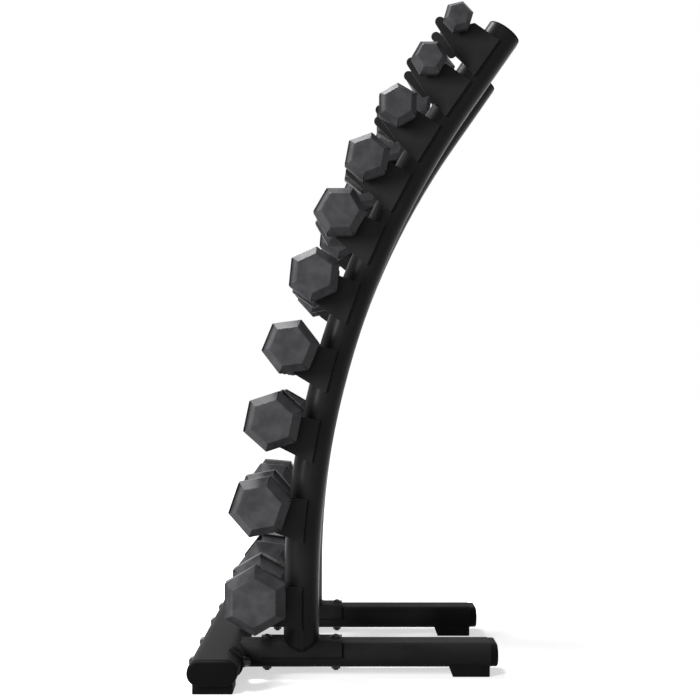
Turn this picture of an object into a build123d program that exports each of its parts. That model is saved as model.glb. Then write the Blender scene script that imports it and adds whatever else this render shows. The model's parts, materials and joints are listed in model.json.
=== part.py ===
"""Dumbbell rack: two curved uprights on a bolted base, ten cradles on each, one dumbbell in each cradle.

Millimetres, +Z up. The front of the rack faces -X and its width runs along Y.
The origin is on the floor, in the middle of the footprint.
"""
from build123d import *
from math import asin, atan2, cos, degrees, hypot, radians, sin
import os

# Base frame: flat-oval tube lying flat
base_tube_width = 100.0
base_tube_height = 50.0
base_wall = 3.0
foot_height = 18.0
upright_spacing = 400.0
beam_overhang = 196.0
beam_to_upright = 167.0
leg_reach = 406.0

# Uprights: flat-oval tube, wide side facing the front
upright_width = 104.0
upright_depth = 73.0
upright_wall = 2.5
bend_start_z = 164.0
bend_radius = 1800.0
bend_angle = 35.0
top_straight = 165.0

# Plugs that close the tube ends: the base tubes have deep domed caps, the uprights thin ones
base_cap = 15.0
base_cap_inset = 1.0
upright_cap = 4.0
cap_edge = 4.0
plug_depth = 16.0
plug_clearance = 0.2

# Saddle plates under the uprights and joint plates behind the beam
joint_plate = 5.0
saddle_length = 169.0
saddle_bolt_offset = 72.0
bracket_length = 220.0
bracket_bolt_offset = 92.0

# Fasteners
bolt_radius = 5.0
hole_clearance = 0.5
bolt_head_radius = 9.5
bolt_head_height = 6.0
bolt_head_rim = 1.5
dome_middle_out = 0.55
dome_middle_up = 0.72
socket_radius = 3.4
socket_depth = 3.0
bolt_tail = 3.0
washer_radius = 11.0
washer_thickness = 1.6
nut_across_flats = 16.0
nut_height = 8.0

# Feet
front_foot_length = 79.0
front_foot_width = 68.0
front_foot_inset = 1.0
rear_foot_length = 86.0
rear_foot_width = 84.0
rear_foot_inset = 17.0
rear_foot_slant = 10.0
foot_wrap = 8.0
foot_edge = 1.5

# Cradles: pairs of side plates, measured from the tube's centreline (out) and from the handle's axis (along)
handle_offset = 90.0
cradle_plate = 4.0
cradle_grip = 1.0
seat_clearance = 0.5
cradle_top = 19.0
cradle_rear = 3.0
shoulder_out = 58.5
shoulder_round = 5.0
lip_out = 118.0
lip_drop = 19.5
heel_out = 70.0
heel_drop = 30.0
rail_radius = 10.0
knee_out = 66.0
knee_drop = 52.0
outer_tail = 70.0
inner_tail = 38.0

# Dumbbells, lightest first: across the flats, corner angle as each one lies, and pitch down to the next tier
head_flats = [54.0, 63.0, 75.0, 85.0, 94.0, 97.0, 102.0, 108.0, 112.0, 121.0]
head_roll = {"left": [8.0, 22.0, 13.0, 5.0, 25.0, 12.0, 7.5, 30.0, 55.0, 52.0],
             "right": [13.7, 0.0, 30.0, 19.5, 0.0, 24.3, 7.5, 18.2, 10.9, 30.0]}
tier_pitch = [102.0, 110.0, 116.0, 118.0, 130.0, 146.0, 147.0, 165.0, 180.0]
top_tier_below_end = 47.0
grip_length = 124.0
handle_radius = 15.0
shortest_head = 26.0
head_length_share = 0.33
face_share = 0.71
outer_chamfer_share = 0.32
inner_chamfer = 8.0
rubber_coat = 6.0

# Worked out from the values above
beam_length = upright_spacing + 2 * beam_overhang
tube_z = foot_height + base_tube_height / 2
tube_top_z = foot_height + base_tube_height
bend_length = bend_radius * radians(bend_angle)
channel_half = upright_width / 2 - cradle_grip + cradle_plate
side_y = {"left": upright_spacing / 2, "right": -upright_spacing / 2}
outer_flank = {"left": 1, "right": -1}


def oval(width, height):
    """Flat-oval outline, long along its own X."""
    return SlotOverall(width, height)


def oval_bar(width, height, length):
    """Solid flat-oval bar along Z, centred on the origin."""
    return extrude(oval(width, height), amount=length / 2, both=True)


def along_y(shape):
    """Turn a bar from Z to Y, with its wide side level."""
    return Rot(90, 0, 0) * shape


def along_x(shape):
    """Turn a bar from Z to X, with its wide side level."""
    return Rot(0, 90, 0) * Rot(0, 0, 90) * shape


def on_sides(build):
    """One copy of a piece for each upright."""
    return [Pos(0, y, 0) * build() for y in side_y.values()]


def group(pieces):
    return Compound(children=list(pieces))


def domed_bolt(length):
    """Bolt along -Z from a domed head that rests on Z = 0."""
    rim = Line((0, 0), (bolt_head_radius, 0))
    side = Line((bolt_head_radius, 0), (bolt_head_radius, bolt_head_rim))
    middle = bolt_head_rim + dome_middle_up * (bolt_head_height - bolt_head_rim)
    dome = ThreePointArc((bolt_head_radius, bolt_head_rim), (dome_middle_out * bolt_head_radius, middle),
                         (0, bolt_head_height))
    axis = Line((0, bolt_head_height), (0, 0))
    head = revolve(Plane.XZ * make_face([rim, side, dome, axis]), axis=Axis.Z)
    socket = extrude(RegularPolygon(socket_radius, 6), amount=socket_depth)
    head -= Pos(0, 0, bolt_head_height - socket_depth) * socket
    return head + Cylinder(bolt_radius, length, align=(Align.CENTER, Align.CENTER, Align.MAX))


def washer():
    """Flat washer resting on Z = 0."""
    ring = Cylinder(washer_radius, washer_thickness, align=(Align.CENTER, Align.CENTER, Align.MIN))
    return ring - Cylinder(bolt_radius + hole_clearance, 4 * washer_thickness)


def hex_nut():
    """Nut hanging from Z = 0."""
    nut = extrude(RegularPolygon(nut_across_flats / 2, 6, major_radius=False), amount=-nut_height)
    return nut - Cylinder(bolt_radius, 4 * nut_height)


beam_rear_x = -beam_to_upright + base_tube_width / 2
beam_front_x = -beam_to_upright - base_tube_width / 2


def beam_hull(grow=0.0, length=beam_length):
    bar = oval_bar(base_tube_width + 2 * grow, base_tube_height + 2 * grow, length)
    return Pos(-beam_to_upright, 0, tube_z) * along_y(bar)


def leg_hull(grow=0.0, start=-beam_to_upright, end=leg_reach - base_cap):
    bar = oval_bar(base_tube_width + 2 * grow, base_tube_height + 2 * grow, end - start)
    return Pos((start + end) / 2, 0, tube_z) * along_x(bar)


def beam_bolt_places():
    return [y + step for y in side_y.values() for step in (-bracket_bolt_offset, bracket_bolt_offset)]


def beam_holes():
    drill = along_x(Cylinder(bolt_radius + hole_clearance, 2 * base_tube_width))
    return [Pos(-beam_to_upright, y, tube_z) * drill for y in beam_bolt_places()]


def saddle_holes():
    drill = Cylinder(bolt_radius + hole_clearance, 4 * base_tube_height)
    return [Pos(x, 0, tube_z) * drill for x in (-saddle_bolt_offset, saddle_bolt_offset)]


def front_beam():
    return beam_hull(length=beam_length - 2 * base_cap) - beam_hull(-base_wall) - beam_holes()


def leg():
    tube = leg_hull() - leg_hull(-base_wall) - beam_hull(joint_plate)
    return tube - saddle_holes()


def bracket():
    """Joint plate wrapped round the back of the beam, welded to the leg's front end."""
    shell = beam_hull(joint_plate, bracket_length) - beam_hull()
    keep_x = -beam_to_upright + (base_tube_width - base_tube_height) / 2
    keep = Box(base_tube_width, bracket_length, 3 * base_tube_height, align=(Align.MIN, Align.CENTER, Align.CENTER))
    shell = shell & Pos(keep_x, 0, tube_z) * keep
    return shell - [Pos(0, -side_y["left"], 0) * hole for hole in beam_holes()[:2]]


def saddle():
    """Plate wrapped over the leg, which carries the upright."""
    half = saddle_length / 2
    shell = leg_hull(joint_plate, -half, half) - leg_hull()
    keep = Box(saddle_length, 2 * base_tube_width, base_tube_height, align=(Align.CENTER, Align.CENTER, Align.MIN))
    return (shell & Pos(0, 0, tube_z) * keep) - saddle_holes()


def plug(width, height, wall, cap, inset=0.0):
    """End plug: a rounded cap over the tube's end at Z = 0 and a skirt down inside it."""
    head = extrude(oval(width - 2 * inset, height - 2 * inset), amount=cap)
    head = fillet(head.faces().sort_by(Axis.Z)[-1].edges(), min(cap_edge, cap / 2))
    gap = 2 * (wall + plug_clearance)
    return head + extrude(oval(width - gap, height - gap), amount=-plug_depth)


def base_plug():
    return plug(base_tube_width, base_tube_height, base_wall, base_cap, base_cap_inset)


def beam_plugs():
    end = beam_length / 2 - base_cap
    near = Pos(-beam_to_upright, -end, tube_z) * along_y(base_plug())
    far = Pos(-beam_to_upright, end, tube_z) * Rot(0, 0, 180) * along_y(base_plug())
    return [near, far]


def leg_plug():
    return Pos(leg_reach - base_cap, 0, tube_z) * along_x(base_plug())


def front_feet():
    """Moulded feet under the beam's ends, cupped round the tube."""
    height = foot_height + foot_wrap
    block = Box(front_foot_length, front_foot_width, height, align=(Align.CENTER, Align.CENTER, Align.MIN))
    block = chamfer(block.edges().filter_by(Axis.Y).group_by(Axis.Z)[0], foot_edge)
    y = beam_length / 2 - base_cap - front_foot_inset - front_foot_width / 2
    return [Pos(-beam_to_upright, side * y, 0) * block - beam_hull() for side in (-1, 1)]


def rear_foot():
    """Moulded foot under the leg's rear end, its front end slanted."""
    half = rear_foot_length / 2
    height = foot_height + foot_wrap
    outline = Polyline((-half + rear_foot_slant, 0), (half - foot_edge, 0), (half, foot_edge), (half, height),
                       (-half, height), (-half + rear_foot_slant, 0))
    block = Plane.XZ * extrude(make_face(outline), amount=rear_foot_width / 2, both=True)
    return Pos(leg_reach - rear_foot_inset - half, 0, 0) * block - leg_hull()


def beam_bolts():
    """Bolts through the beam from its front face into the joint plates."""
    seat_x = beam_front_x - washer_thickness
    length = base_tube_width + joint_plate + 2 * washer_thickness + nut_height + bolt_tail
    bolt = Rot(0, -90, 0) * domed_bolt(length)
    return [Pos(seat_x, y, tube_z) * bolt for y in beam_bolt_places()]


def beam_washers():
    """Washers at the front and back of the beam, their inner sides cut to its rounded flanks."""
    depth = washer_radius / 2
    blank = Cylinder(washer_radius, depth) - Cylinder(bolt_radius + hole_clearance, 4 * depth)
    blank = along_x(blank)
    front_x = beam_front_x - washer_thickness + depth / 2
    rear_x = beam_rear_x + joint_plate + washer_thickness - depth / 2
    pieces = []
    for y in beam_bolt_places():
        pieces.append(Pos(front_x, y, tube_z) * blank - beam_hull())
        pieces.append(Pos(rear_x, y, tube_z) * blank - beam_hull(joint_plate))
    return pieces


def beam_nuts():
    seat_x = beam_rear_x + joint_plate + washer_thickness
    nut = Rot(0, -90, 0) * hex_nut()
    return [Pos(seat_x, y, tube_z) * nut for y in beam_bolt_places()]


def saddle_bolt_places():
    return [(x, y) for y in side_y.values() for x in (-saddle_bolt_offset, saddle_bolt_offset)]


def saddle_bolts():
    length = base_tube_height + joint_plate + 2 * washer_thickness + nut_height + bolt_tail
    seat_z = tube_top_z + joint_plate + washer_thickness
    return [Pos(x, y, seat_z) * domed_bolt(length) for x, y in saddle_bolt_places()]


def saddle_washers():
    top = [Pos(x, y, tube_top_z + joint_plate) * washer() for x, y in saddle_bolt_places()]
    bottom = [Pos(x, y, foot_height - washer_thickness) * washer() for x, y in saddle_bolt_places()]
    return top + bottom


def saddle_nuts():
    return [Pos(x, y, foot_height - washer_thickness) * hex_nut() for x, y in saddle_bolt_places()]


def station(distance):
    """Point on the upright's centreline and its lean, at a distance along it from the start of the bend."""
    lean = min(max(distance / bend_radius, 0.0), radians(bend_angle))
    extra = distance - lean * bend_radius
    x = bend_radius * (1 - cos(lean)) + extra * sin(lean)
    z = bend_start_z + bend_radius * sin(lean) + extra * cos(lean)
    return x, z, lean


def tier_plane(distance):
    """Plane at a station: its X points out to the front, its Y up along the tube, its Z along the width."""
    x, z, lean = station(distance)
    return Plane(origin=(x, 0, z), x_dir=(-cos(lean), 0, sin(lean)), z_dir=(0, 1, 0))


def tier_places():
    """Distance of each tier along the upright, lightest first."""
    places = [bend_length + top_straight - top_tier_below_end]
    for step in tier_pitch:
        places.append(places[-1] - step)
    return places


def upright_hull(inset=0.0):
    places = [station(distance) for distance in (0, bend_length / 2, bend_length, bend_length + top_straight)]
    start, middle, end, tip = [(x, 0, z) for x, z, lean in places]
    foot = Line((0, 0, tube_z), start)
    bend = ThreePointArc(start, middle, end)
    top = Line(end, tip)
    section = oval(upright_width - 2 * inset, upright_depth - 2 * inset)
    return sweep(Plane((0, 0, tube_z)) * Rot(0, 0, 90) * section, path=Wire([foot, bend, top]))


def upright():
    tube = upright_hull() - upright_hull(upright_wall)
    return tube - leg_hull(joint_plate, -saddle_length, saddle_length)


def upright_plug():
    x, z, lean = station(bend_length + top_straight)
    blank = Rot(0, 0, 90) * plug(upright_width, upright_depth, upright_wall, upright_cap)
    return Pos(x, 0, z) * Rot(0, degrees(lean), 0) * blank


def cradle_rail():
    """Rounded bar outline that runs under the handle, from the lip to the heel."""
    out, up = lip_out - heel_out, heel_drop - lip_drop
    middle = Pos((lip_out + heel_out) / 2, -(lip_drop + heel_drop) / 2)
    return middle * Rot(0, 0, degrees(atan2(up, out))) * SlotCenterToCenter(hypot(out, up), 2 * rail_radius)


def cradle_throat():
    """Top edge of a side plate, from its rear corner over the shoulder and down under the handle."""
    seat = handle_radius + seat_clearance
    slope = atan2(heel_drop - lip_drop, lip_out - heel_out)
    reach = seat + rail_radius
    return [(-cradle_rear, cradle_top), (shoulder_out, cradle_top), (handle_offset - seat, 0),
            (handle_offset + reach * sin(slope), -reach * cos(slope))]


def cradle_outline(lower_edge):
    """Side plate: out from the tube along X, up along Y, handle axis at (handle_offset, 0)."""
    top = cradle_throat()
    face = make_face(Polyline(*top, *lower_edge, top[0])) + cradle_rail()
    shoulder = face.vertices().sort_by_distance((shoulder_out, cradle_top, 0))[0]
    return fillet(shoulder, shoulder_round) - Pos(handle_offset, 0) * Circle(handle_radius + seat_clearance)


def outer_plate():
    """Deep plate on the outer flank, its lower edge running back from the lip to a long tail."""
    rise = atan2(knee_drop - lip_drop, lip_out - knee_out)
    slope = rise - asin(rail_radius / hypot(lip_out - knee_out, knee_drop - lip_drop))
    lip_end = (lip_out + rail_radius * sin(slope), -lip_drop - rail_radius * cos(slope))
    return cradle_outline([(lip_out, -lip_drop), lip_end, (knee_out, -knee_drop), (0, -outer_tail),
                           (-cradle_rear, -outer_tail)])


def inner_plate():
    """Shallow plate on the inner flank, cut away below the rail."""
    return cradle_outline([(heel_out, -heel_drop), (heel_out - rail_radius, -heel_drop), (0, -inner_tail),
                           (-cradle_rear, -inner_tail)])


def cradle_pair(side):
    """Two side plates that grip the tube's flanks, the deep one on the rack's outer side."""
    inner_face = upright_width / 2 - cradle_grip
    outer_face = inner_face + cradle_plate
    plates = []
    for outline, flank in ((outer_plate(), outer_flank[side]), (inner_plate(), -outer_flank[side])):
        start = inner_face if flank > 0 else -outer_face
        plates.append(Pos(0, 0, start) * extrude(outline, amount=cradle_plate))
    return plates


def cradles(side):
    tube = upright_hull()
    pair = cradle_pair(side)
    return [tier_plane(place).location * plate - tube for place in tier_places() for plate in pair]


def head_length(flats):
    return shortest_head + head_length_share * flats


def hexagon(flats):
    return RegularPolygon(flats / 2, 6, major_radius=False)


def tapered_hexagon(flats, length, face, outer, inner):
    """Six-sided head along +Z: its inner end at Z = 0, both ends tapered to a smaller hexagon."""
    levels = [(0, face), (inner, flats), (length - outer, flats), (length, face)]
    solid = None
    for (z0, size0), (z1, size1) in zip(levels, levels[1:]):
        slab = loft([Pos(0, 0, z0) * hexagon(size0), Pos(0, 0, z1) * hexagon(size1)], ruled=True)
        solid = slab if solid is None else solid + slab
    return solid


def dumbbell(flats, roll):
    """Rubber coats and the iron bar of one dumbbell along Z, centred on its handle."""
    length = head_length(flats)
    outer = outer_chamfer_share * length
    face = face_share * flats
    head = tapered_hexagon(flats, length, face, outer, inner_chamfer)
    slim = 2 * rubber_coat
    core = Pos(0, 0, rubber_coat) * tapered_hexagon(flats - slim, length - slim, face - slim, outer, inner_chamfer)
    coat = head - core - Cylinder(handle_radius, 4 * rubber_coat)
    ends = (Pos(0, 0, grip_length / 2), Rot(180, 0, 0) * Pos(0, 0, grip_length / 2))
    turn = Rot(0, 0, roll)
    bar = Cylinder(handle_radius, grip_length + 3 * rubber_coat) + [turn * end * core for end in ends]
    return group([turn * end * coat for end in ends]), bar


def seat_point(tier):
    """Handle axis of a tier, before the origin is moved to the middle of the footprint."""
    x, z, lean = station(tier_places()[tier])
    return x - handle_offset * cos(lean), z + handle_offset * sin(lean)


def build():
    """Every named sub-part, with the upright's foot above X = 0."""
    nodes = {
        "front_beam": front_beam(),
        "beam_end_plugs": group(beam_plugs()),
        "leg_end_plugs": group(on_sides(leg_plug)),
        "joint_brackets": group(on_sides(bracket)),
        "upright_saddles": group(on_sides(saddle)),
        "upright_end_plugs": group(on_sides(upright_plug)),
        "front_feet": group(front_feet()),
        "rear_feet": group(on_sides(rear_foot)),
        "beam_bolts": group(beam_bolts()),
        "beam_washers": group(beam_washers()),
        "beam_nuts": group(beam_nuts()),
        "saddle_bolts": group(saddle_bolts()),
        "saddle_washers": group(saddle_washers()),
        "saddle_nuts": group(saddle_nuts()),
    }
    for side, y in side_y.items():
        nodes[f"leg_{side}"] = Pos(0, y, 0) * leg()
        nodes[f"upright_{side}"] = Pos(0, y, 0) * upright()
        nodes[f"cradles_{side}"] = group([Pos(0, y, 0) * plate for plate in cradles(side)])
        for tier, (flats, roll) in enumerate(zip(head_flats, head_roll[side])):
            coats, bar = dumbbell(flats, roll)
            x, z = seat_point(tier)
            place = Pos(x, y, z) * Rot(90, 0, 0)
            nodes[f"dumbbell_{tier + 1:02d}_{side}_coats"] = place * coats
            nodes[f"dumbbell_{tier + 1:02d}_{side}_bar"] = place * bar
    return nodes


def write(nodes):
    """Move the origin to the middle of the footprint and write one file for each sub-part."""
    os.makedirs("parts", exist_ok=True)
    boxes = [shape.bounding_box() for shape in nodes.values()]
    front, back = min(box.min.X for box in boxes), max(box.max.X for box in boxes)
    middle = Pos(-(front + back) / 2, 0, 0)
    for name, shape in nodes.items():
        export_step(middle * shape, f"parts/{name}.step")
    print("origin moved by", round(-(front + back) / 2, 3), "depth", round(back - front, 1))


write(build())
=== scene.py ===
import bpy, bmesh, json
from math import atan2, cos, pi, radians, sin
from mathutils import Matrix, Vector


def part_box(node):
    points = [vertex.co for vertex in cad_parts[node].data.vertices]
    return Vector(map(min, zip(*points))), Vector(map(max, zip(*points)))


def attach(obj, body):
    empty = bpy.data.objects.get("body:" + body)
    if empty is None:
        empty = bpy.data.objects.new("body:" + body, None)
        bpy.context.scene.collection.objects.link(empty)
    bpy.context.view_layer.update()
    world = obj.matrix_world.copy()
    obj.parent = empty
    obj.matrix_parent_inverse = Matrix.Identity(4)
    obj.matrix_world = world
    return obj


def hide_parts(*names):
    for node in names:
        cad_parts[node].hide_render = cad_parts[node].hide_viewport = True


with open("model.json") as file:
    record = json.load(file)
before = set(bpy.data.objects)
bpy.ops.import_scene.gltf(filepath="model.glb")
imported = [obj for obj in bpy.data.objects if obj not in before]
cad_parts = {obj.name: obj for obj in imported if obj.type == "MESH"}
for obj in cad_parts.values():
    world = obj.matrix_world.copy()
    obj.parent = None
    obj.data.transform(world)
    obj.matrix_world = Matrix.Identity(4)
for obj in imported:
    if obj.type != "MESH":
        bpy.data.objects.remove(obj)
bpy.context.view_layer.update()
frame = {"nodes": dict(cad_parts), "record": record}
nodes = frame["nodes"]
tierCount = 10


def newMaterial(name, colour, roughness, specular=0.5, metallic=0.0):
    material = bpy.data.materials.new(name)
    material.use_nodes = True
    shader = material.node_tree.nodes["Principled BSDF"]
    shader.inputs["Base Color"].default_value = (*colour, 1)
    shader.inputs["Roughness"].default_value = roughness
    shader.inputs["Specular IOR Level"].default_value = specular
    shader.inputs["Metallic"].default_value = metallic
    return material, shader


def objectNoise(material, scale, detail):
    tree = material.node_tree
    place = tree.nodes.new("ShaderNodeTexCoord")
    noise = tree.nodes.new("ShaderNodeTexNoise")
    noise.inputs["Scale"].default_value = scale
    noise.inputs["Detail"].default_value = detail
    tree.links.new(place.outputs["Object"], noise.inputs["Vector"])
    return noise.outputs["Fac"]


def ramp(material, source, low, high, start=0.35, end=0.65):
    tree = material.node_tree
    node = tree.nodes.new("ShaderNodeValToRGB")
    node.color_ramp.elements[0].position, node.color_ramp.elements[1].position = start, end
    node.color_ramp.elements[0].color, node.color_ramp.elements[1].color = (*low, 1), (*high, 1)
    tree.links.new(source, node.inputs["Fac"])
    return node.outputs["Color"]


def span(material, source, low, high):
    node = material.node_tree.nodes.new("ShaderNodeMapRange")
    node.inputs["From Min"].default_value, node.inputs["From Max"].default_value = 0.3, 0.7
    node.inputs["To Min"].default_value, node.inputs["To Max"].default_value = low, high
    material.node_tree.links.new(source, node.inputs["Value"])
    return node.outputs["Result"]


def addBump(material, shader, source, strength, distance, under=None):
    node = material.node_tree.nodes.new("ShaderNodeBump")
    node.inputs["Strength"].default_value = strength
    node.inputs["Distance"].default_value = distance
    material.node_tree.links.new(source, node.inputs["Height"])
    if under:
        material.node_tree.links.new(under, node.inputs["Normal"])
    material.node_tree.links.new(node.outputs["Normal"], shader.inputs["Normal"])
    return node.outputs["Normal"]


powderCoat = {"peel": 420.0, "peelStrength": 0.12, "peelDepth": 0.0004, "dust": 14.0, "lighter": 1.4,
              "base": {"dark": (0.014, 0.014, 0.0145), "roughness": (0.5, 0.58), "sheen": 0.02},
              "uprights": {"dark": (0.009, 0.009, 0.0095), "roughness": (0.33, 0.4), "sheen": 0.075},
              # the cradles' paint is a lighter copy of the same black coat: painted light that lifts the plates
              # where the dumbbell heads shade them
              "cradles": {"dark": (0.018, 0.018, 0.0185), "roughness": (0.42, 0.5), "sheen": 0.06}}


def makePowderCoat(part):
    paint = powderCoat[part]
    light = [value * powderCoat["lighter"] for value in paint["dark"]]
    material, shader = newMaterial("powderCoat" + part.title(), paint["dark"], paint["roughness"][0], paint["sheen"])
    link = material.node_tree.links.new
    cloud = objectNoise(material, powderCoat["dust"], 6)
    peel = objectNoise(material, powderCoat["peel"], 2)
    link(ramp(material, cloud, paint["dark"], light), shader.inputs["Base Color"])
    link(span(material, cloud, *paint["roughness"]), shader.inputs["Roughness"])
    addBump(material, shader, peel, powderCoat["peelStrength"], powderCoat["peelDepth"])
    return material


rubber = {"dark": (0.048, 0.048, 0.052), "light": (0.078, 0.078, 0.084), "roughness": (0.34, 0.46), "sheen": 0.09,
          "blotch": 38.0, "flow": 110.0, "flowStrength": 0.18, "flowDepth": 0.0006, "grain": 600.0,
          "grainStrength": 0.08, "grainDepth": 0.0002}


def makeRubber():
    material, shader = newMaterial("mouldedRubber", rubber["dark"], rubber["roughness"][0], rubber["sheen"])
    link = material.node_tree.links.new
    blotch = objectNoise(material, rubber["blotch"], 8)
    link(ramp(material, blotch, rubber["dark"], rubber["light"]), shader.inputs["Base Color"])
    link(span(material, blotch, *rubber["roughness"]), shader.inputs["Roughness"])
    flow = addBump(material, shader, objectNoise(material, rubber["flow"], 3), rubber["flowStrength"],
                   rubber["flowDepth"])
    addBump(material, shader, objectNoise(material, rubber["grain"], 2), rubber["grainStrength"],
            rubber["grainDepth"], flow)
    return material


grip = {"colour": (0.3, 0.3, 0.31), "roughness": 0.34, "knurl": 520.0 / 3, "slant": radians(32), "strength": 0.5,
        "depth": 0.0006}


def makeGripSteel():
    material, shader = newMaterial("knurledSteel", grip["colour"], grip["roughness"], metallic=1.0)
    tree = material.node_tree
    place = tree.nodes.new("ShaderNodeTexCoord")
    heights = []
    for turn in (grip["slant"], -grip["slant"]):
        slant = tree.nodes.new("ShaderNodeMapping")
        slant.inputs["Rotation"].default_value = (turn, 0, 0)
        wave = tree.nodes.new("ShaderNodeTexWave")
        wave.bands_direction = "Y"
        wave.inputs["Scale"].default_value = grip["knurl"]
        tree.links.new(place.outputs["Object"], slant.inputs["Vector"])
        tree.links.new(slant.outputs["Vector"], wave.inputs["Vector"])
        heights.append(wave.outputs["Fac"])
    lower = tree.nodes.new("ShaderNodeMath")
    lower.operation = "MINIMUM"
    for height, socket in zip(heights, lower.inputs):
        tree.links.new(height, socket)
    addBump(material, shader, lower.outputs[0], grip["strength"], grip["depth"])
    return material


moulded = {"cloud": 30.0, "depth": 0.0004}


def makeMoulded(name, colour, roughness, grain, strength, sheen):
    material, shader = newMaterial(name, colour, roughness[0], sheen)
    cloud = objectNoise(material, moulded["cloud"], 5)
    material.node_tree.links.new(span(material, cloud, *roughness), shader.inputs["Roughness"])
    addBump(material, shader, objectNoise(material, grain, 2), strength, moulded["depth"])
    return material


finishes = {
    "frame_paint": makePowderCoat("base"),
    "uprights": makePowderCoat("uprights"),
    # lighter cradle paint: painted light over the shade the heads cast on the plates
    "cradles": makePowderCoat("cradles"),
    # near-black seam colour: painted shade standing for the shadow in the groove along each weld
    "weld": makeMoulded("weldedSeam", (0.0055, 0.0055, 0.006), (0.5, 0.65), 260, 0.5, 0.04),
    "rubber_coat": makeRubber(),
    "handle_steel": makeGripSteel(),
    "plug_plastic": makeMoulded("plugPlastic", (0.0035, 0.0035, 0.004), (0.52, 0.62), 700, 0.12, 0.04),
    "foot_rubber": makeMoulded("footRubber", (0.0045, 0.0045, 0.0045), (0.6, 0.75), 500, 0.3, 0.06),
    "fastener_black": makeMoulded("blackOxide", (0.012, 0.012, 0.013), (0.25, 0.36), 300, 0.1, 0.3),
}
slotOf = {row["node"]: row["material_slot"] for row in frame["record"]["subparts"]}
bodyOf = {node: body for body, members in frame["record"]["behaviour"]["bodies"].items() for node in members}
for name, node in nodes.items():
    node.data.materials.clear()
    node.data.materials.append(finishes[slotOf[name]])
print("materials done")


def addPiece(name, mesh, body, slot, *stands, finish=None):
    piece = bpy.data.objects.new(name, mesh)
    bpy.context.scene.collection.objects.link(piece)
    mesh.materials.clear()
    mesh.materials.append(finishes[finish or slot])
    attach(piece, body)
    if stands:
        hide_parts(*stands)
    return piece


def meshFrom(work, name, angle):
    mesh = bpy.data.meshes.new(name)
    work.to_mesh(mesh)
    work.free()
    mesh.shade_smooth()
    mesh.set_sharp_from_angle(angle=radians(angle))
    return mesh


# width of the softened edge on each of the frame's own shapes
steelwork = {"front_beam": 0.0006, "leg_left": 0.0006, "leg_right": 0.0006, "upright_left": 0.0006,
             "upright_right": 0.0006, "joint_brackets": 0.0009, "upright_saddles": 0.0009, "cradles_left": 0.0008,
             "cradles_right": 0.0008, "front_feet": 0.0018, "rear_feet": 0.0018, "beam_end_plugs": 0.0006,
             "leg_end_plugs": 0.0006, "upright_end_plugs": 0.0006}
ownCoat = {"upright_left": "uprights", "upright_right": "uprights", "cradles_left": "cradles",
           "cradles_right": "cradles"}
soften = {"merge": 0.00002, "flat": radians(0.5), "sharp": 35, "corner": radians(32), "segments": 2}


def softenNode(name, width):
    work = bmesh.new()
    work.from_mesh(nodes[name].data)
    bmesh.ops.remove_doubles(work, verts=work.verts, dist=soften["merge"])
    bmesh.ops.dissolve_limit(work, angle_limit=soften["flat"], verts=work.verts, edges=work.edges)
    piece = addPiece(name.replace("_", "") + "Soft", meshFrom(work, name + "Soft", soften["sharp"]), bodyOf[name],
                     slotOf[name], name, finish=ownCoat.get(name))
    bevel = piece.modifiers.new("edges", "BEVEL")
    bevel.width = width
    bevel.segments = soften["segments"]
    bevel.limit_method = "ANGLE"
    bevel.angle_limit = soften["corner"]
    bevel.harden_normals = True


for name, width in steelwork.items():
    softenNode(name, width)
print("steelwork done")


# weld seams: a row of rings that swell and shrink along each joint, in a near-black finish that is painted shade for
# the shadowed groove beside each bead
welds = {"radius": 0.0029, "step": 0.0036, "ripple": 0.8, "sides": 8, "bendStart": 0.164, "bendRadius": 1.8,
         "bendEnd": radians(35), "offset": 0.09, "rear": -0.0038, "top": 0.018, "outerTail": -0.069,
         "innerTail": -0.037, "flank": 0.0528, "turns": 96, "round": 0.0365, "flat": 0.0155, "saddle": 0.03,
         "crown": 0.025, "sharp": 80}


def addSeam(work, start, end):
    steps = max(2, round((end - start).length / welds["step"]))
    turn = (end - start).to_track_quat("Z", "Y").to_matrix().to_4x4()
    ring = bmesh.ops.create_circle(work, cap_ends=True, segments=welds["sides"], radius=welds["radius"],
                                   matrix=Matrix.Translation(start) @ turn)["verts"]
    face = ring[0].link_faces[0]
    stride = (end - start) / steps
    for step in range(steps):
        grown = bmesh.ops.extrude_face_region(work, geom=[face])["geom"]
        ring = [item for item in grown if isinstance(item, bmesh.types.BMVert)]
        face = [item for item in grown if isinstance(item, bmesh.types.BMFace)][0]
        middle = sum((vert.co for vert in ring), Vector()) / len(ring)
        size = welds["ripple"] if step % 2 == 0 else 1 / welds["ripple"]
        bmesh.ops.scale(work, vec=(size, size, size), verts=ring, space=Matrix.Translation(-middle))
        bmesh.ops.translate(work, vec=stride, verts=ring)


def seatAxis(tier, side):
    low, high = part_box(f"dumbbell_{tier + 1:02d}_{side}_bar")
    return (Vector(low) + Vector(high)) / 2


def tierPoint(seat, out, along, across):
    low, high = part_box("upright_saddles")
    bendX = (low[0] + high[0]) / 2 + welds["bendRadius"]
    lean = min(max(atan2(seat.z - welds["bendStart"], bendX - seat.x), 0), welds["bendEnd"])
    back = welds["offset"] - out
    return Vector((seat.x + back * cos(lean) + along * sin(lean), seat.y + across,
                   seat.z - back * sin(lean) + along * cos(lean)))


def makeCradleSeams(side, outward):
    work = bmesh.new()
    for tier in range(tierCount):
        seat = seatAxis(tier, side)
        for flank, tail in ((outward, welds["outerTail"]), (-outward, welds["innerTail"])):
            across = flank * welds["flank"]
            addSeam(work, tierPoint(seat, welds["rear"], welds["top"], across),
                    tierPoint(seat, welds["rear"], tail, across))
    bmesh.ops.recalc_face_normals(work, faces=work.faces)
    addPiece("cradleSeams" + side.title(), meshFrom(work, "cradleSeams" + side, welds["sharp"]), "rack",
             "frame_paint", finish="weld")


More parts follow.
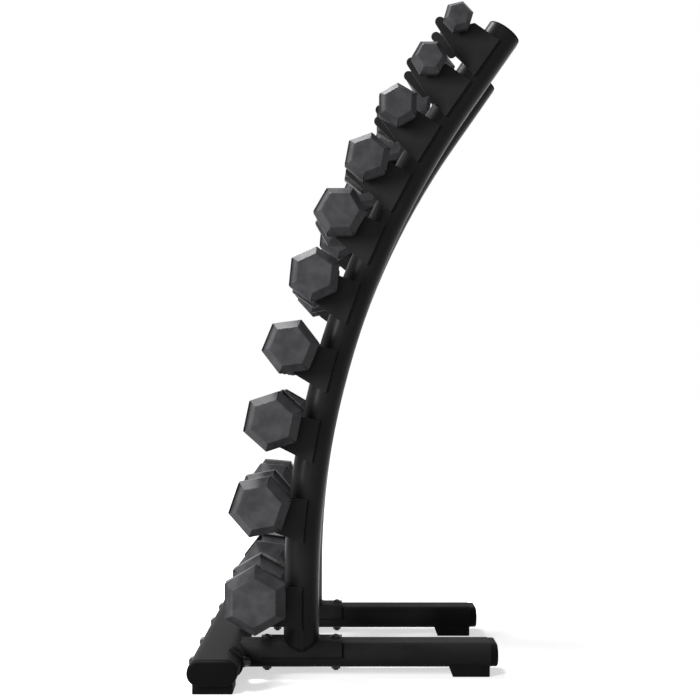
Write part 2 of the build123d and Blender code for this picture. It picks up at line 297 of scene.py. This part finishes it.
def makeFootSeam(side):
    low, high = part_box("upright_" + side)
    middle = (low[1] + high[1]) / 2
    saddleLow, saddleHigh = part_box("upright_saddles")
    centreX = (saddleLow[0] + saddleHigh[0]) / 2
    crown = saddleHigh[2] - welds["saddle"]
    path = bpy.data.curves.new("footSeam" + side, "CURVE")
    path.dimensions = "3D"
    path.bevel_depth = welds["radius"]
    path.bevel_resolution = 2
    line = path.splines.new("POLY")
    line.use_cyclic_u = True
    line.points.add(welds["turns"] - 1)
    for index, point in enumerate(line.points):
        angle = 2 * pi * index / welds["turns"]
        flat = welds["flat"] if sin(angle) > 0 else -welds["flat"]
        across = welds["round"] * sin(angle) + flat
        over = max(0, abs(across) - welds["crown"])
        point.co = (centreX + welds["round"] * cos(angle), middle + across,
                    crown + (welds["saddle"] ** 2 - over ** 2) ** 0.5, 1)
        point.radius = 1.0 if index % 2 else welds["ripple"]
    raw = bpy.data.objects.new("footSeam", path)
    mesh = bpy.data.meshes.new_from_object(raw)
    bpy.data.objects.remove(raw)
    mesh.name = "footSeam" + side
    addPiece("footSeam" + side.title(), mesh, "rack", "frame_paint", finish="weld")


for side, outward in (("left", 1), ("right", -1)):
    makeCradleSeams(side, outward)
    makeFootSeam(side)
print("welds done")


heads = {"flats": (0.054, 0.063, 0.075, 0.085, 0.094, 0.097, 0.102, 0.108, 0.112, 0.121),
         "left": (8.0, 22.0, 13.0, 5.0, 25.0, 12.0, 7.5, 30.0, 55.0, 52.0),
         "right": (13.7, 0.0, 30.0, 19.5, 0.0, 24.3, 7.5, 18.2, 10.9, 30.0),
         "gripHalf": 0.062, "face": 0.71, "outer": 0.32, "inner": 0.008, "edge": 0.0014, "sharp": 70,
         "firstCorner": 30}


def growHead(work, flats, length):
    bevelOut = heads["outer"] * length
    ring = bmesh.ops.create_circle(work, cap_ends=True, segments=6, radius=flats / 2 / cos(pi / 6))["verts"]
    face = ring[0].link_faces[0]
    lower = heads["face"]
    bmesh.ops.scale(work, vec=(lower, lower, lower), verts=ring)
    verts = list(ring)
    for rise, scale in ((heads["inner"], 1 / lower), (length - bevelOut - heads["inner"], 1.0), (bevelOut, lower)):
        grown = bmesh.ops.extrude_face_region(work, geom=[face])["geom"]
        top = [item for item in grown if isinstance(item, bmesh.types.BMVert)]
        face = [item for item in grown if isinstance(item, bmesh.types.BMFace)][0]
        bmesh.ops.translate(work, vec=(0, 0, rise), verts=top)
        bmesh.ops.scale(work, vec=(scale, scale, 1), verts=top)
        verts += top
    return verts


def makeHeads(tier, side):
    name = f"dumbbell_{tier + 1:02d}_{side}"
    low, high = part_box(name + "_coats")
    centre = (Vector(low) + Vector(high)) / 2
    half = (high[1] - low[1]) / 2
    work = bmesh.new()
    for away in (-1, 1):
        verts = growHead(work, heads["flats"][tier], half - heads["gripHalf"])
        lift = Matrix.Translation((0, 0, heads["gripHalf"]))
        roll = radians(heads[side][tier] + heads["firstCorner"])
        spin = Matrix.Rotation(roll * -away, 4, "Z")
        lay = Matrix.Rotation(radians(-90 * away), 4, "X")
        bmesh.ops.transform(work, matrix=Matrix.Translation(centre) @ lay @ spin @ lift, verts=verts)
    bmesh.ops.recalc_face_normals(work, faces=work.faces)
    bmesh.ops.bevel(work, geom=work.edges, offset=heads["edge"], segments=3, profile=0.5, affect="EDGES",
                    material=-1, clamp_overlap=True)
    piece = addPiece(f"hexHeads{tier + 1:02d}{side.title()}", meshFrom(work, name + "Heads", heads["sharp"]), name,
                     "rubber_coat", name + "_coats")
    flatten = piece.modifiers.new("flatFaces", "WEIGHTED_NORMAL")
    flatten.keep_sharp = True


for tier in range(tierCount):
    for side in ("left", "right"):
        makeHeads(tier, side)
print("dumbbells done")


studio = {"floor": 40.0, "bounce": (0.25, 0.25, 0.25), "white": (0.9, 0.9, 0.9), "glow": 0.6, "near": 0.5,
          "far": 1.0, "world": 0.1}


def seenRays(tree):  # rays that show the white background
    path = tree.nodes.new("ShaderNodeLightPath")
    total = path.outputs["Is Camera Ray"]
    for name in ("Is Glossy Ray", "Is Transmission Ray"):
        either = tree.nodes.new("ShaderNodeMath")
        either.operation = "MAXIMUM"
        tree.links.new(total, either.inputs[0])
        tree.links.new(path.outputs[name], either.inputs[1])
        total = either.outputs[0]
    return total


def mixShaders(tree, factor, first, second):
    mix = tree.nodes.new("ShaderNodeMixShader")
    tree.links.new(factor, mix.inputs["Fac"])
    tree.links.new(first, mix.inputs[1])
    tree.links.new(second, mix.inputs[2])
    return mix.outputs[0]


def makeFloor():
    work = bmesh.new()
    bmesh.ops.create_grid(work, x_segments=1, y_segments=1, size=studio["floor"])
    mesh = bpy.data.meshes.new("studioFloor")
    work.to_mesh(mesh)
    work.free()
    floor = bpy.data.objects.new("studioFloor", mesh)
    bpy.context.scene.collection.objects.link(floor)
    material, shader = newMaterial("floorPaint", studio["bounce"], 0.9, 0.1)
    mesh.materials.append(material)
    tree = material.node_tree
    paint = tree.nodes.new("ShaderNodeBsdfDiffuse")
    paint.inputs["Color"].default_value = (*studio["white"], 1)
    glow = tree.nodes.new("ShaderNodeEmission")
    place = tree.nodes.new("ShaderNodeTexCoord")
    reach = tree.nodes.new("ShaderNodeVectorMath")
    reach.operation = "LENGTH"
    tree.links.new(place.outputs["Object"], reach.inputs[0])
    fade = tree.nodes.new("ShaderNodeMapRange")
    fade.interpolation_type = "SMOOTHSTEP"
    fade.inputs["From Min"].default_value, fade.inputs["From Max"].default_value = studio["near"], studio["far"]
    fade.inputs["To Min"].default_value, fade.inputs["To Max"].default_value = studio["glow"], 1.0
    tree.links.new(reach.outputs["Value"], fade.inputs["Value"])
    tree.links.new(fade.outputs["Result"], glow.inputs["Strength"])
    both = tree.nodes.new("ShaderNodeAddShader")
    tree.links.new(glow.outputs[0], both.inputs[0])
    tree.links.new(paint.outputs[0], both.inputs[1])
    tree.links.new(mixShaders(tree, seenRays(tree), shader.outputs[0], both.outputs[0]),
                   tree.nodes["Material Output"].inputs["Surface"])


def makeWorld():
    world = bpy.data.worlds.new("studioWorld")
    bpy.context.scene.world = world
    world.use_nodes = True
    tree = world.node_tree
    light = tree.nodes["Background"]
    light.inputs["Color"].default_value = (1, 1, 1, 1)
    light.inputs["Strength"].default_value = studio["world"]
    seen = tree.nodes.new("ShaderNodeBackground")
    seen.inputs["Color"].default_value = (1, 1, 1, 1)
    seen.inputs["Strength"].default_value = 1.0
    tree.links.new(mixShaders(tree, seenRays(tree), light.outputs[0], seen.outputs[0]),
                   tree.nodes["World Output"].inputs["Surface"])


def addLamp(name, place, aim, size, watts):
    data = bpy.data.lights.new(name, "AREA")
    data.shape = "RECTANGLE"
    data.size, data.size_y = size
    data.energy = watts
    lamp = bpy.data.objects.new(name, data)
    lamp.location = place
    lamp.rotation_euler = (Vector(aim) - Vector(place)).to_track_quat("-Z", "Y").to_euler()
    bpy.context.scene.collection.objects.link(lamp)


lamps = {"topLamp": {"place": (-0.9, 0.5, 3.4), "aim": (-0.1, -0.1, 0.7), "size": (0.7, 0.7), "watts": 105},
         "keyLamp": {"place": (-2.5, -2.5, 1.5), "aim": (0, 0, 0.7), "size": (0.35, 1.7), "watts": 118},
         "frontLamp": {"place": (-0.6, -3.6, 1.3), "aim": (0, 0, 0.6), "size": (1.6, 1.6), "watts": 11}}
view = {"distance": 2.5, "across": -0.0269, "height": 0.605, "lens": 61.46, "shift": (0.01, 0.0471)}


def makeCamera():
    data = bpy.data.cameras.new("viewCamera")
    data.lens = view["lens"]
    data.sensor_width = 36.0
    data.shift_x, data.shift_y = view["shift"]
    camera = bpy.data.objects.new("viewCamera", data)
    low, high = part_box("leg_right")
    camera.location = (view["across"], (low[1] + high[1]) / 2 - view["distance"], view["height"])
    camera.rotation_euler = (radians(90), 0, 0)
    bpy.context.scene.collection.objects.link(camera)
    bpy.context.scene.camera = camera


makeFloor()
makeWorld()
for name, lamp in lamps.items():
    addLamp(name, **lamp)
makeCamera()
bpy.context.scene.view_settings.view_transform = "Standard"
print("studio done")
